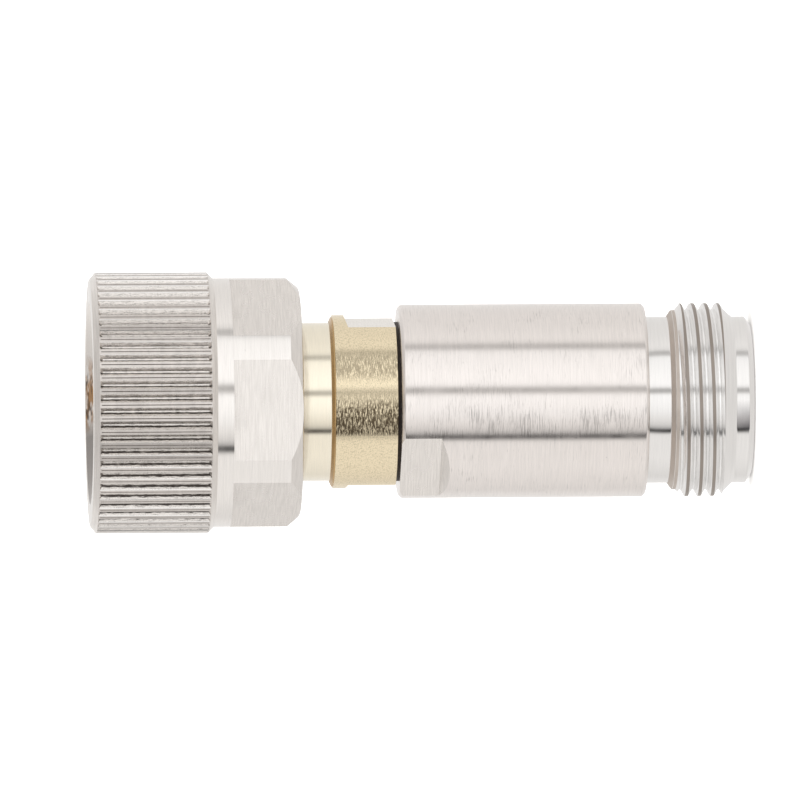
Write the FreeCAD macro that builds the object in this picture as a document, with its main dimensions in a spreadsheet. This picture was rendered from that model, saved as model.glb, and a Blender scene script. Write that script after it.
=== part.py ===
import FreeCAD, Part

import math
import os

import Sketcher

# Coaxial adapter: a screw-on plug with a knurled coupling nut at the top, a brass body, and a steel
# barrel that ends in a threaded jack. Millimetres. The part stands on the jack's rim: Z is the common
# axis, z = 0 is the rim, and the plug's mouth looks up. Both ends share one 7 mm air line with a
# 3.04 mm centre conductor, which fixes most of the radii inside.

document = FreeCAD.newDocument("CoaxialAdapter")


# Driving dimensions. Each is set by itself; what fits into or seats on another piece is worked out
# from these and from the three named clearances.
DIMENSIONS = {
    # clearances
    "running_fit": 0.06,
    "slip_fit": 0.03,
    "seal_squeeze": 0.02,
    # the air line, the same at both ends
    "line_bore": 3.5,
    "conductor_radius": 1.52,
    "bead_waist": 1.2,
    "bead_thickness": 2.0,
    "bead_rebate": 0.78,
    "pocket_radius": 5.0,
    "seal_section": 0.35,
    "stud_radius": 0.7,
    "stud_length": 3.4,
    "stud_end_gap": 0.15,
    # jack end
    "rim_radius": 6.83,
    "rim_chamfer": 0.45,
    "rim_length": 1.5,
    "jack_mouth": 4.1,
    "mouth_chamfer": 0.35,
    "contact_depth": 9.1,
    "jack_thread_radius": 7.9375,
    "jack_thread_root": 7.38,
    "jack_thread_lead": 0.58,
    "jack_thread_length": 4.12,
    "thread_end_slope": 0.45,
    "runout_land": 0.5,
    "runout_slope": 0.4,
    "jack_neck_radius": 6.84,
    "jack_neck_length": 1.77,
    "socket_depth": 4.1,
    "socket_hole": 0.83,
    "socket_hole_depth": 5.4,
    "socket_slot": 0.3,
    "socket_slot_length": 4.2,
    "socket_lead": 0.2,
    "bush_nose": 0.55,
    "bush_length": 2.3,
    # barrel
    "barrel_radius": 7.96,
    "barrel_length": 20.13,
    "barrel_edge": 0.25,
    "barrel_flats": 14.2,
    "barrel_flat_length": 3.24,
    "barrel_flat_run": 0.75,
    "barrel_thread_stand": 1.3,
    "barrel_thread_depth": 9.0,
    "spigot_length": 5.6,
    "sleeve_flange": 1.2,
    "sleeve_wall": 1.25,
    "clamp_length": 1.9,
    "clamp_slot_width": 1.0,
    "clamp_slot_depth": 0.7,
    # brass body
    "seam_gap": 0.3,
    "seam_undercut": 0.21,
    "body_seal_lap": 0.24,
    "collar_stand": 0.64,
    "collar_length": 5.1,
    "collar_step": 0.16,
    "collar_slope": 0.36,
    "collar_flats": 13.08,
    "collar_flat_length": 3.9,
    "collar_flat_run": 0.25,
    "neck_wall": 1.5,
    "neck_shown": 2.2,
    "neck_inside_nut": 6.05,
    "snap_groove_depth": 0.95,
    "snap_groove_width": 0.8,
    "snap_groove_offset": 3.85,
    "neck_seal_offset": 1.5,
    "neck_seal_section": 0.33,
    # plug contact and pin
    "contact_radius": 4.0,
    "contact_recess": 1.2,
    "contact_slot": 0.3,
    "contact_slot_length": 5.2,
    "contact_chamfer": 0.2,
    "contact_base": 2.6,
    "plug_bush_length": 1.5,
    "pin_radius": 0.825,
    "pin_shoulder_depth": 5.5,
    "pin_tip_depth": 0.8,
    "pin_taper": 0.5,
    "pin_tip_radius": 0.4,
    "gasket_thickness": 1.0,
    "gasket_play": 0.12,
    # coupling nut
    "nut_length": 17.21,
    "knurl_radius": 10.71,
    "nut_front_chamfer": 0.46,
    "nut_front_radius": 10.15,
    "knurl_length": 9.4,
    "knurl_depth": 0.38,
    "knurl_groove_width": 0.7,
    "knurl_teeth": 60,
    "shoulder_slope": 0.74,
    "nut_neck_radius": 10.23,
    "nut_neck_length": 0.86,
    "hex_across": 18.72,
    "hex_count": 6,
    "nut_rear_chamfer": 1.05,
    "nut_rear_radius": 9.46,
    "nut_rear_edge": 0.2,
    "nut_rear_edge_rise": 0.1,
    "nut_thread_radius": 7.42,
    "nut_thread_depth": 0.53,
    "nut_thread_pitch": 1.058333,
    "nut_thread_root_flat": 0.1,
    "nut_thread_offset": 1.2,
    "nut_thread_turns": 10,
    "nut_mouth_radius": 8.35,
    "nut_relief_radius": 8.1,
    "nut_relief_length": 2.0,
    "nut_lip": 1.0,
    "nut_groove_clearance": 0.1,
    "nut_groove_play": 0.15,
    "washer_thickness": 0.3,
    "washer_stand": 0.5,
    "ring_stand": 0.6,
    "ring_gap": 1.6,
    # how each piece is turned about the axis, in degrees
    "nut_clock": 15.7,
    "collar_clock": 42.0,
    "contact_clock": 25.0,
    "socket_clock": 10.0,
}

sheet = document.addObject("Spreadsheet::Sheet", "Sizes")
for row, (alias, number) in enumerate(DIMENSIONS.items(), start=1):
    sheet.set(f"A{row}", alias)
    sheet.set(f"B{row}", str(number))
    sheet.setAlias(f"B{row}", alias)
document.recompute()


class Size:
    """A length that knows both its number and the expression that gives it from the sheet."""

    def __init__(self, text, number):
        self.text = text
        self.number = number

    def __add__(self, other):
        other = as_size(other)
        return Size(f"({self.text} + {other.text})", self.number + other.number)

    def __sub__(self, other):
        other = as_size(other)
        return Size(f"({self.text} - {other.text})", self.number - other.number)

    def __mul__(self, other):
        other = as_size(other)
        return Size(f"({self.text} * {other.text})", self.number * other.number)

    def __truediv__(self, other):
        other = as_size(other)
        return Size(f"({self.text} / {other.text})", self.number / other.number)


def as_size(value):
    return value if isinstance(value, Size) else Size(repr(float(value)), float(value))


def size(alias):
    return Size(f"<<Sizes>>.{alias}", float(sheet.get(alias)))


def half_turn_tangent(count):
    """Half the side of a regular polygon of count sides, for each unit of its apothem."""
    return Size(f"tan(180 deg / {count.text})", math.tan(math.pi / count.number))


ZERO = as_size(0)
# Slope of a 60 degree thread's flanks: half the included angle, as width for each unit of depth.
FLANK = as_size(math.tan(math.radians(30)))

# Heights along the axis, from the jack's rim upwards.
thread_start = size("rim_length") + size("jack_thread_lead")
thread_end = thread_start + size("jack_thread_length")
neck_start = thread_end + size("runout_land") + size("runout_slope")
barrel_start = neck_start + size("jack_neck_length")
barrel_end = barrel_start + size("barrel_length")
bush_flange_start = size("contact_depth") + size("bush_nose")
jack_bead_start = size("contact_depth") + size("bush_length")
jack_bead_end = jack_bead_start + size("bead_thickness")
barrel_step = barrel_end - size("barrel_thread_depth")
spigot_end = barrel_end - size("spigot_length")
sleeve_flange_top = barrel_step + size("sleeve_flange")
collar_start = barrel_end + size("seam_gap")
collar_end = collar_start + size("collar_length")
cone_start = collar_end + size("collar_step")
cone_end = cone_start + size("collar_slope")
nut_rear = cone_end + size("neck_shown")
nut_front = nut_rear + size("nut_length")
neck_front = nut_rear + size("neck_inside_nut")
snap_groove = nut_rear + size("snap_groove_offset")
neck_seal_height = nut_rear + size("neck_seal_offset")
contact_tip = nut_front - size("contact_recess")
contact_base_start = neck_front - size("contact_base")
plug_bush_start = contact_base_start - size("plug_bush_length")
plug_bead_start = plug_bush_start - size("bead_thickness")
pin_shoulder = contact_tip - size("pin_shoulder_depth")
pin_tip = contact_tip - size("pin_tip_depth")
knurl_end = nut_front - size("nut_front_chamfer") - size("knurl_length")
nut_neck_start = knurl_end - size("shoulder_slope")
hex_wall = nut_neck_start - size("nut_neck_length")
washer_end = snap_groove + size("snap_groove_width") + size("washer_thickness")
nut_groove_end = washer_end + size("nut_groove_clearance")
nut_cavity = nut_groove_end + size("nut_lip")

# Radii that more than one piece is made to.
pocket_fit_radius = size("pocket_radius") - size("slip_fit")
neck_radius = size("pocket_radius") + size("neck_wall")
barrel_thread_radius = size("pocket_radius") + size("barrel_thread_stand")
snap_groove_radius = neck_radius - size("snap_groove_depth")
ring_outer = neck_radius + size("ring_stand")
washer_outer = neck_radius + size("washer_stand")
collar_radius = neck_radius + size("collar_stand")
spigot_radius = barrel_thread_radius - size("slip_fit")
seam_radius = barrel_thread_radius - size("seam_undercut")
body_seal_radius = barrel_thread_radius + size("body_seal_lap")


def plane_of(body, role):
    return next(item for item in body.Origin.OriginFeatures if item.Role == role)


def new_body(label, clock=None):
    """An empty body; clock turns the whole piece about the axis."""
    body = document.addObject("PartDesign::Body", label)
    body.Label = label
    if clock is not None:
        body.Placement = FreeCAD.Placement(FreeCAD.Vector(), FreeCAD.Rotation(FreeCAD.Vector(0, 0, 1), 0))
        body.setExpression("Placement.Rotation.Angle", size(clock).text)
    return body


def new_sketch(body, name, role, height=None):
    sketch = body.newObject("Sketcher::SketchObject", f"{body.Name}_{name}")
    sketch.AttachmentSupport = [(plane_of(body, role), "")]
    sketch.MapMode = "FlatFace"
    if height is not None:
        sketch.setExpression("AttachmentOffset.Base.z", height.text)
    return sketch


def same(first, second):
    return first.text == second.text


def bind(sketch, kind, *places, value):
    """A distance constraint that follows the sheet."""
    index = sketch.addConstraint(Sketcher.Constraint(kind, *places, value.number))
    sketch.setExpression(f"Constraints[{index}]", value.text)


def draw_outline(sketch, points):
    """A closed outline of straight lines through points, each an (across, up) pair of sizes."""
    count = len(points)
    for index, (across, up) in enumerate(points):
        next_across, next_up = points[(index + 1) % count]
        start = FreeCAD.Vector(across.number, up.number, 0)
        end = FreeCAD.Vector(next_across.number, next_up.number, 0)
        sketch.addGeometry(Part.LineSegment(start, end), False)
    for index in range(count):
        sketch.addConstraint(Sketcher.Constraint("Coincident", index, 2, (index + 1) % count, 1))
    for index, (across, up) in enumerate(points):
        before_across, before_up = points[index - 1]
        if index and same(across, before_across):
            sketch.addConstraint(Sketcher.Constraint("Vertical", index - 1))
        elif same(across, ZERO):
            sketch.addConstraint(Sketcher.Constraint("PointOnObject", index, 1, -2))
        else:
            bind(sketch, "DistanceX", -1, 1, index, 1, value=across)
        if index and same(up, before_up):
            sketch.addConstraint(Sketcher.Constraint("Horizontal", index - 1))
        elif same(up, ZERO):
            sketch.addConstraint(Sketcher.Constraint("PointOnObject", index, 1, -1))
        else:
            bind(sketch, "DistanceY", -1, 1, index, 1, value=up)


def turn(body, points):
    """Turns the body from a half section of (radius, height) points."""
    sketch = new_sketch(body, "section", "XZ_Plane")
    draw_outline(sketch, points)
    revolution = body.newObject("PartDesign::Revolution", f"{body.Name}_turned")
    revolution.Profile = sketch
    revolution.ReferenceAxis = (sketch, ["V_Axis"])
    revolution.Angle = 360
    document.recompute()
    return revolution


def cut_down(body, name, points, height, depth):
    """A pocket from an outline in a level plane at the given height, cut downwards."""
    sketch = new_sketch(body, name, "XY_Plane", height)
    draw_outline(sketch, points)
    document.recompute()
    pocket = body.newObject("PartDesign::Pocket", f"{body.Name}_{name}_cut")
    pocket.Profile = sketch
    pocket.Length = depth.number
    pocket.setExpression("Length", depth.text)
    document.recompute()
    return pocket


def cut_across(body, name, role, points, width):
    """A pocket from an upright outline, cut to both sides of its plane."""
    sketch = new_sketch(body, name, role)
    draw_outline(sketch, points)
    document.recompute()
    pocket = body.newObject("PartDesign::Pocket", f"{body.Name}_{name}_cut")
    pocket.Profile = sketch
    pocket.SideType = "Symmetric"
    pocket.Length = width.number
    pocket.setExpression("Length", width.text)
    document.recompute()
    return pocket


def cut_inner_thread(body, bore, root, height):
    """An inner thread, cut from the bore out to the root radius along a right-handed helix.

    Its section starts at the given height, on the body's X side, and stands a little into the bore.
    """
    opening = bore - size("running_fit")
    half_root = size("nut_thread_root_flat") / 2
    half_opening = half_root + (root - opening) * FLANK
    sketch = new_sketch(body, "thread", "XZ_Plane")
    draw_outline(sketch, [
        (root, height - half_root),
        (opening, height - half_opening),
        (opening, height + half_opening),
        (root, height + half_root),
    ])
    document.recompute()
    helix = body.newObject("PartDesign::SubtractiveHelix", f"{body.Name}_thread_cut")
    helix.Profile = sketch
    helix.ReferenceAxis = (plane_of(body, "Z_Axis"), [""])
    helix.Mode = "pitch-turns-angle"
    helix.setExpression("Pitch", size("nut_thread_pitch").text)
    helix.setExpression("Turns", size("nut_thread_turns").text)
    document.recompute()
    return helix


def repeat_round(body, feature, count):
    """Repeats a cut round the axis; count is a whole number or a size in the sheet."""
    pattern = body.newObject("PartDesign::PolarPattern", f"{feature.Name}_round")
    pattern.Originals = [feature]
    pattern.Axis = (plane_of(body, "Z_Axis"), [""])
    pattern.Angle = 360
    pattern.Occurrences = int(as_size(count).number)
    if isinstance(count, Size):
        pattern.setExpression("Occurrences", count.text)
    body.Tip = pattern
    document.recompute()
    return pattern


def ring(label, ring_radius, section_radius, height):
    """A round soft ring lying level about the axis."""
    torus = document.addObject("Part::Torus", label)
    torus.Label = label
    torus.setExpression("Radius1", ring_radius.text)
    torus.setExpression("Radius2", section_radius.text)
    torus.setExpression("Placement.Base.z", height.text)
    return torus


# Coupling nut. The section is turned, then the straight knurl is cut as one V groove repeated round
# the crest, and the six wrench flats as one flat repeated. The grooves run out on the front chamfer
# and on the slope behind the knurl, so each tooth has pointed ends. The inner thread comes last.
coupling_nut = new_body("coupling_nut", "nut_clock")
nut_bore = neck_radius + size("running_fit")
nut_groove_radius = ring_outer + size("nut_groove_play")
nut_thread_lead = size("nut_mouth_radius") - size("nut_thread_radius")
relief_end = nut_cavity + size("nut_relief_length")
relief_slope = size("nut_relief_radius") - size("nut_thread_radius")
turn(coupling_nut, [
    (nut_bore, nut_rear),
    (size("nut_rear_radius") - size("nut_rear_edge"), nut_rear),
    (size("nut_rear_radius"), nut_rear + size("nut_rear_edge_rise")),
    (size("nut_neck_radius"), nut_rear + size("nut_rear_chamfer")),
    (size("nut_neck_radius"), nut_neck_start),
    (size("knurl_radius"), knurl_end),
    (size("knurl_radius"), nut_front - size("nut_front_chamfer")),
    (size("nut_front_radius"), nut_front),
    (size("nut_mouth_radius"), nut_front),
    (size("nut_thread_radius"), nut_front - nut_thread_lead),
    (size("nut_thread_radius"), relief_end + relief_slope),
    (size("nut_relief_radius"), relief_end),
    (size("nut_relief_radius"), nut_cavity),
    (nut_bore, nut_cavity),
    (nut_bore, nut_groove_end),
    (nut_groove_radius, nut_groove_end),
    (nut_groove_radius, snap_groove - size("nut_groove_clearance")),
    (nut_bore, snap_groove - size("nut_groove_clearance")),
])
hex_apothem = size("hex_across") / 2
hex_half_side = hex_apothem * half_turn_tangent(size("hex_count"))
hex_flat = cut_down(coupling_nut, "flat", [
    (hex_apothem, ZERO - hex_half_side),
    (size("knurl_radius") + size("running_fit"), ZERO - hex_half_side),
    (size("knurl_radius") + size("running_fit"), hex_half_side),
    (hex_apothem, hex_half_side),
], hex_wall, hex_wall - nut_rear)
repeat_round(coupling_nut, hex_flat, size("hex_count"))
groove_half = size("knurl_groove_width") / 2
groove_flare = (size("knurl_depth") + size("running_fit")) / size("knurl_depth")
tooth_groove = cut_down(coupling_nut, "groove", [
    (size("knurl_radius") - size("knurl_depth"), ZERO),
    (size("knurl_radius") + size("running_fit"), groove_half * groove_flare),
    (size("knurl_radius") + size("running_fit"), ZERO - groove_half * groove_flare),
], nut_front, nut_front - nut_neck_start)
repeat_round(coupling_nut, tooth_groove, size("knurl_teeth"))
cut_inner_thread(
    coupling_nut, size("nut_thread_radius"), size("nut_thread_radius") + size("nut_thread_depth"),
    nut_cavity + size("nut_thread_offset"))

# Brass body. From below: spigot that screws into the barrel, seam neck, collar with two wrench flats,
# a small step and cone, then the neck that carries the nut, with grooves for its ring and seal.
plug_body = new_body("plug_body", "collar_clock")
neck_seal_radius = neck_radius - size("neck_seal_section")
seal_groove_radius = neck_seal_radius - size("neck_seal_section") - size("seal_squeeze")
seal_groove_half = size("neck_seal_section") + size("seal_squeeze") * 2
turn(plug_body, [
    (size("line_bore"), spigot_end),
    (spigot_radius, spigot_end),
    (spigot_radius, barrel_end - size("seam_gap")),
    (seam_radius, barrel_end - size("seam_gap")),
    (seam_radius, collar_start),
    (collar_radius, collar_start),
    (collar_radius, collar_end),
    (collar_radius - size("collar_step"), collar_end),
    (collar_radius - size("collar_step"), cone_start),
    (neck_radius, cone_end),
    (neck_radius, neck_seal_height - seal_groove_half),
    (seal_groove_radius, neck_seal_height - seal_groove_half),
    (seal_groove_radius, neck_seal_height + seal_groove_half),
    (neck_radius, neck_seal_height + seal_groove_half),
    (neck_radius, snap_groove),
    (snap_groove_radius, snap_groove),
    (snap_groove_radius, snap_groove + size("snap_groove_width")),
    (neck_radius, snap_groove + size("snap_groove_width")),
    (neck_radius, neck_front),
    (size("pocket_radius"), neck_front),
    (size("pocket_radius"), plug_bead_start),
    (size("line_bore"), plug_bead_start),
])
collar_apothem = size("collar_flats") / 2
collar_flat_top = collar_start + size("collar_flat_length")
collar_flat = cut_across(plug_body, "flat", "XZ_Plane", [
    (collar_apothem, collar_start),
    (collar_radius * 2, collar_start),
    (collar_radius * 2, collar_flat_top + size("collar_flat_run")
        * (collar_radius * 2 - collar_apothem) / (collar_radius - collar_apothem)),
    (collar_apothem, collar_flat_top),
], collar_radius * 2)
repeat_round(plug_body, collar_flat, 2)

# Steel barrel and jack, one turned piece with two wrench flats whose end walls slope. The jack's
# thread is its crest cylinder, which a mating nut is gauged on.
jack_body = new_body("jack_body")
turn(jack_body, [
    (size("jack_mouth") + size("mouth_chamfer"), ZERO),
    (size("rim_radius") - size("rim_chamfer"), ZERO),
    (size("rim_radius"), size("rim_chamfer")),
    (size("rim_radius"), size("rim_length")),
    (size("jack_thread_root"), thread_start),
    (size("jack_thread_radius"), thread_start + size("thread_end_slope")),
    (size("jack_thread_radius"), thread_end - size("thread_end_slope")),
    (size("jack_thread_root"), thread_end),
    (size("jack_thread_root"), thread_end + size("runout_land")),
    (size("jack_neck_radius"), neck_start),
    (size("jack_neck_radius"), barrel_start),
    (size("barrel_radius") - size("barrel_edge"), barrel_start),
    (size("barrel_radius"), barrel_start + size("barrel_edge")),
    (size("barrel_radius"), barrel_end - size("barrel_edge")),
    (size("barrel_radius") - size("barrel_edge"), barrel_end),
    (barrel_thread_radius, barrel_end),
    (barrel_thread_radius, barrel_step),
    (size("pocket_radius"), barrel_step),
    (size("pocket_radius"), bush_flange_start),
    (size("jack_mouth"), bush_flange_start),
    (size("jack_mouth"), size("mouth_chamfer")),
])
barrel_apothem = size("barrel_flats") / 2
barrel_flat_bottom = barrel_end - size("barrel_flat_length")
barrel_flat = cut_across(jack_body, "flat", "YZ_Plane", [
    (barrel_apothem, barrel_end),
    (size("barrel_radius") * 2, barrel_end),
    (size("barrel_radius") * 2, barrel_flat_bottom - size("barrel_flat_run")
        * (size("barrel_radius") * 2 - barrel_apothem) / (size("barrel_radius") - barrel_apothem)),
    (barrel_apothem, barrel_flat_bottom),
], size("barrel_radius") * 2)
repeat_round(jack_body, barrel_flat, 2)

# Split spring ring that holds the nut on the neck, and the thin washer beside it.
nut_snap_ring = new_body("nut_snap_ring")
ring_height = size("snap_groove_width") - size("slip_fit")
turn(nut_snap_ring, [
    (snap_groove_radius + size("slip_fit"), snap_groove),
    (ring_outer, snap_groove),
    (ring_outer, snap_groove + ring_height),
    (snap_groove_radius + size("slip_fit"), snap_groove + ring_height),
])
half_gap = size("ring_gap") / 2
cut_down(nut_snap_ring, "split", [
    (ZERO, ZERO - half_gap),
    (ring_outer * 2, ZERO - half_gap),
    (ring_outer * 2, half_gap),
    (ZERO, half_gap),
], snap_groove + ring_height, ring_height)

nut_thrust_washer = new_body("nut_thrust_washer")
washer_start = snap_groove + size("snap_groove_width")
turn(nut_thrust_washer, [
    (neck_radius + size("slip_fit"), washer_start),
    (washer_outer, washer_start),
    (washer_outer, washer_start + size("washer_thickness")),
    (neck_radius + size("slip_fit"), washer_start + size("washer_thickness")),
])

# Round rings: under the back of the nut, and in the seam of the two bodies.
ring("neck_seal", neck_seal_radius, size("neck_seal_section"), neck_seal_height)
body_seal = new_body("body_seal")
turn(body_seal, [
    (seam_radius + size("slip_fit"), barrel_end),
    (body_seal_radius, barrel_end),
    (body_seal_radius, collar_start),
    (seam_radius + size("slip_fit"), collar_start),
])

# Soft flat gasket on the neck's front face, round the outer contact.
face_gasket = new_body("face_gasket")
gasket_inner = size("contact_radius") + size("gasket_play")
turn(face_gasket, [
    (gasket_inner, neck_front),
    (neck_radius, neck_front),
    (neck_radius, neck_front + size("gasket_thickness")),
    (gasket_inner, neck_front + size("gasket_thickness")),
])

# Slotted outer contact: a base pressed into the neck, and a thin sleeve with four slots.
plug_contact = new_body("plug_contact", "contact_clock")
turn(plug_contact, [
    (size("line_bore"), contact_base_start),
    (pocket_fit_radius, contact_base_start),
    (pocket_fit_radius, neck_front),
    (size("contact_radius"), neck_front),
    (size("contact_radius"), contact_tip - size("contact_chamfer")),
    (size("contact_radius") - size("contact_chamfer"), contact_tip),
    (size("line_bore"), contact_tip),
])
half_slot = size("contact_slot") / 2
contact_slot = cut_down(plug_contact, "slot", [
    (ZERO, ZERO - half_slot),
    (size("contact_radius") * 2, ZERO - half_slot),
    (size("contact_radius") * 2, half_slot),
    (ZERO, half_slot),
], contact_tip, size("contact_slot_length"))
repeat_round(plug_contact, contact_slot, 4)

# Bush that traps the plug's bead.
plug_bush = new_body("plug_bush")
turn(plug_bush, [
    (size("line_bore"), plug_bush_start),
    (pocket_fit_radius, plug_bush_start),
    (pocket_fit_radius, contact_base_start),
    (size("line_bore"), contact_base_start),
])


def bead(label, start, rebate_above):
    """An insulating bead with a rebate at one end for its round seal, which comes with it."""
    top = start + size("bead_thickness")
    rebate_radius = pocket_fit_radius - size("seal_section") * 2 - size("seal_squeeze")
    inner = size("bead_waist") + size("slip_fit")
    body = new_body(label)
    if rebate_above:
        step = top - size("bead_rebate")
        points = [(inner, start), (pocket_fit_radius, start), (pocket_fit_radius, step),
                  (rebate_radius, step), (rebate_radius, top), (inner, top)]
        seal_height = step + size("seal_section") + size("seal_squeeze")
    else:
        step = start + size("bead_rebate")
        points = [(inner, start), (rebate_radius, start), (rebate_radius, step),
                  (pocket_fit_radius, step), (pocket_fit_radius, top), (inner, top)]
        seal_height = step - size("seal_section") - size("seal_squeeze")
    turn(body, points)
    ring(f"{label}_seal", rebate_radius + size("seal_squeeze") + size("seal_section"),
         size("seal_section"), seal_height)


bead("plug_bead", plug_bead_start, rebate_above=False)
bead("jack_bead", jack_bead_start, rebate_above=True)

# Centre conductor: plug pin, rod and jack socket, joined by studs that screw into the rod's ends.
plug_pin = new_body("plug_pin")
turn(plug_pin, [
    (ZERO, plug_bead_start - size("stud_length")),
    (size("stud_radius"), plug_bead_start - size("stud_length")),
    (size("stud_radius"), plug_bead_start),
    (size("bead_waist"), plug_bead_start),
    (size("bead_waist"), plug_bush_start),
    (size("conductor_radius"), plug_bush_start),
    (size("conductor_radius"), pin_shoulder - size("contact_chamfer")),
    (size("conductor_radius") - size("contact_chamfer"), pin_shoulder),
    (size("pin_radius"), pin_shoulder),
    (size("pin_radius"), pin_tip - size("pin_taper")),
    (size("pin_tip_radius"), pin_tip),
    (ZERO, pin_tip),
])

centre_rod = new_body("centre_rod")
rod_hole = size("stud_radius") + size("slip_fit")
hole_depth = size("stud_length") + size("stud_end_gap")
turn(centre_rod, [
    (ZERO, jack_bead_end + hole_depth),
    (rod_hole, jack_bead_end + hole_depth),
    (rod_hole, jack_bead_end),
    (size("conductor_radius"), jack_bead_end),
    (size("conductor_radius"), plug_bead_start),
    (rod_hole, plug_bead_start),
    (rod_hole, plug_bead_start - hole_depth),
    (ZERO, plug_bead_start - hole_depth),
])

jack_socket = new_body("jack_socket", "socket_clock")
socket_floor = size("socket_depth") + size("socket_hole_depth")
turn(jack_socket, [
    (size("socket_hole") + size("socket_lead"), size("socket_depth")),
    (size("conductor_radius") - size("socket_lead"), size("socket_depth")),
    (size("conductor_radius"), size("socket_depth") + size("socket_lead")),
    (size("conductor_radius"), jack_bead_start),
    (size("bead_waist"), jack_bead_start),
    (size("bead_waist"), jack_bead_end),
    (size("stud_radius"), jack_bead_end),
    (size("stud_radius"), jack_bead_end + size("stud_length")),
    (ZERO, jack_bead_end + size("stud_length")),
    (ZERO, socket_floor),
    (size("socket_hole"), socket_floor),
    (size("socket_hole"), size("socket_depth") + size("socket_lead")),
])
half_finger_slot = size("socket_slot") / 2
finger_slot = cut_down(jack_socket, "slot", [
    (ZERO, ZERO - half_finger_slot),
    (size("conductor_radius") * 2, ZERO - half_finger_slot),
    (size("conductor_radius") * 2, half_finger_slot),
    (ZERO, half_finger_slot),
], size("socket_depth") + size("socket_slot_length"), size("socket_slot_length"))
repeat_round(jack_socket, finger_slot, 4)

# Outer conductor inside the barrel: bush at the jack, sleeve with a flange, threaded clamp ring.
jack_bush = new_body("jack_bush")
turn(jack_bush, [
    (size("line_bore"), size("contact_depth")),
    (size("jack_mouth") - size("slip_fit"), size("contact_depth")),
    (size("jack_mouth") - size("slip_fit"), bush_flange_start),
    (pocket_fit_radius, bush_flange_start),
    (pocket_fit_radius, jack_bead_start),
    (size("line_bore"), jack_bead_start),
])

line_sleeve = new_body("line_sleeve")
sleeve_outer = size("line_bore") + size("sleeve_wall")
turn(line_sleeve, [
    (size("line_bore"), jack_bead_end),
    (pocket_fit_radius, jack_bead_end),
    (pocket_fit_radius, barrel_step),
    (spigot_radius, barrel_step),
    (spigot_radius, sleeve_flange_top),
    (sleeve_outer, sleeve_flange_top),
    (sleeve_outer, spigot_end),
    (size("line_bore"), spigot_end),
])

sleeve_clamp = new_body("sleeve_clamp")
clamp_top = sleeve_flange_top + size("clamp_length")
turn(sleeve_clamp, [
    (sleeve_outer + size("slip_fit"), sleeve_flange_top),
    (spigot_radius, sleeve_flange_top),
    (spigot_radius, clamp_top),
    (sleeve_outer + size("slip_fit"), clamp_top),
])
half_clamp_slot = size("clamp_slot_width") / 2
clamp_slot = cut_down(sleeve_clamp, "slot", [
    (ZERO, ZERO - half_clamp_slot),
    (spigot_radius * 2, ZERO - half_clamp_slot),
    (spigot_radius * 2, half_clamp_slot),
    (ZERO, half_clamp_slot),
], clamp_top, size("clamp_slot_depth"))
repeat_round(sleeve_clamp, clamp_slot, 2)

document.recompute()

PIECES = [
    "coupling_nut", "nut_snap_ring", "nut_thrust_washer", "neck_seal", "face_gasket",
    "plug_body", "plug_contact", "plug_pin", "plug_bead", "plug_bead_seal", "plug_bush",
    "body_seal", "jack_body", "line_sleeve", "sleeve_clamp", "centre_rod",
    "jack_bead", "jack_bead_seal", "jack_bush", "jack_socket",
]

for item in document.Objects:
    if "Invalid" in item.State or "Error" in item.State:
        raise RuntimeError(f"{item.Label} failed: {item.State}")

for label in PIECES:
    shape = document.getObjectsByLabel(label)[0].Shape
    if shape.isNull() or not shape.isValid() or len(shape.Solids) != 1:
        raise RuntimeError(f"{label} is not one valid solid")

os.makedirs("parts", exist_ok=True)
for label in PIECES:
    document.getObjectsByLabel(label)[0].Shape.exportStep(f"parts/{label}.step")
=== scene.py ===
import math

import bpy
from mathutils import Matrix, Vector


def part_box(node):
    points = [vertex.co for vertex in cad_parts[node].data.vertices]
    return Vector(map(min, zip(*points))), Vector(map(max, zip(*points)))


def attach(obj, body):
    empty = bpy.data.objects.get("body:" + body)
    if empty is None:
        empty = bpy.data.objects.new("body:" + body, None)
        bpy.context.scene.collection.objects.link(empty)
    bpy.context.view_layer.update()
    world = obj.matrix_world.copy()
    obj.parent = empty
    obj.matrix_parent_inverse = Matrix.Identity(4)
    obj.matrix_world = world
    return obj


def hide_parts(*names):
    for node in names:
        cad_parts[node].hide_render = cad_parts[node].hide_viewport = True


bl_info = {
    "name": "Coaxial Adapter",
    "version": (1, 0, 0),
    "blender": (4, 5, 0),
    "location": "3D View > Sidebar > Adapter",
    "description": "Dresses a coaxial adapter: knurled nut, gold plated body and threaded steel barrel",
    "category": "Object",
}

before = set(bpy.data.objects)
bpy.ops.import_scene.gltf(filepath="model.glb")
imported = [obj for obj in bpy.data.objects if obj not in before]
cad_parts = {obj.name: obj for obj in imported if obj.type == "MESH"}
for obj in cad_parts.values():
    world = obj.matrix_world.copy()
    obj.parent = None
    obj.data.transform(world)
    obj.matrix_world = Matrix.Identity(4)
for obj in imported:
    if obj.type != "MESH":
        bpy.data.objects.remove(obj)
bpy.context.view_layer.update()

MM = 0.001
nut_low, nut_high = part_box("coupling_nut")
brass_low, brass_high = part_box("plug_body")
barrel_low, barrel_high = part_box("jack_body")
contact_low, contact_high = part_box("plug_contact")
pin_low, pin_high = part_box("plug_pin")
gasket_low, gasket_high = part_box("face_gasket")
socket_low, socket_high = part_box("jack_socket")
bush_low, bush_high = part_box("jack_bush")
bead_low, bead_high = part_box("plug_bead")

# Both threads are 24 turns to the inch, right-handed.
THREAD_PITCH = 25.4 * MM / 24
THREAD_STEPS = 144
# Vertices nearer than this are one.
WELD = 1e-6
# Edges flatter than this are shaded round.
SMOOTH_ANGLE = math.radians(23)
# Edges sharper than this can be worn round, in this many steps.
SHARP_ANGLE = math.radians(15)
EDGE_STEPS = 3
# Columns of faces round the turned pieces.
NUT_COLUMNS = 300
BODY_COLUMNS = 384
RING_COLUMNS = 160
PIN_COLUMNS = 96
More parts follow.
